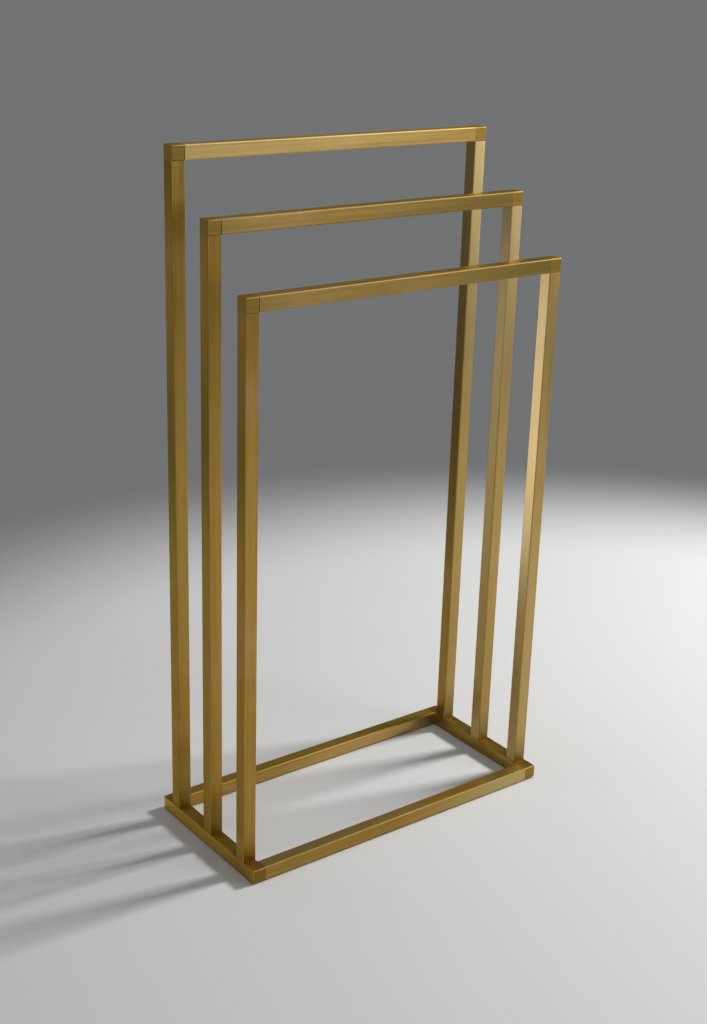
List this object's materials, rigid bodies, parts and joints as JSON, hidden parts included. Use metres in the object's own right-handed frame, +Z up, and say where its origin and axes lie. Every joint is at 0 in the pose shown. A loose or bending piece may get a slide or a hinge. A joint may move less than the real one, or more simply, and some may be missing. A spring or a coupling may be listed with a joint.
{
  "type": "freestanding towel stand",
  "caption": "Freestanding towel stand: stepped inverted-U rails of square brushed gold tube, one behind another, on a rectangular open base of the same tube.",
  "frame": {"origin": "on the floor, under the middle of the base", "axes": "+Z up; +Y from the lowest rail at the front to the tallest rail at the back; +X to the right as seen from the front, along the rails"},
  "size_m": [0.47, 0.218, 0.874],
  "materials": {
    "tube": "satin brushed gold coat on stainless steel tube, grain along the tube",
    "corner_casting": "satin gold plate on a die casting, a little darker than the tube",
    "insert": "plain zinc plate, hidden inside the tubes",
    "screw": "bright zinc plate",
    "pad": "matt black rubber"
  },
  "bodies": {
    "root": {"back_left_post": "tube", "back_left_post_plug": "insert", "back_left_rail_corner": "corner_casting", "back_rail": "tube", "back_right_post": "tube", "back_right_post_plug": "insert", "back_right_rail_corner": "corner_casting", "base_back_bar": "tube", "base_back_left_corner": "corner_casting", "base_back_right_corner": "corner_casting", "base_front_bar": "tube", "base_front_left_corner": "corner_casting", "base_front_right_corner": "corner_casting", "base_left_bar": "tube", "base_right_bar": "tube", "foot_pads": "pad", "front_left_post": "tube", "front_left_post_plug": "insert", "front_left_rail_corner": "corner_casting", "front_rail": "tube", "front_right_post": "tube", "front_right_post_plug": "insert", "front_right_rail_corner": "corner_casting", "left_bar_spacer": "insert", "middle_left_post": "tube", "middle_left_post_plug": "insert", "middle_left_rail_corner": "corner_casting", "middle_rail": "tube", "middle_right_post": "tube", "middle_right_post_plug": "insert", "middle_right_rail_corner": "corner_casting", "post_screws": "screw", "right_bar_spacer": "insert"}
  },
  "joints": []
}
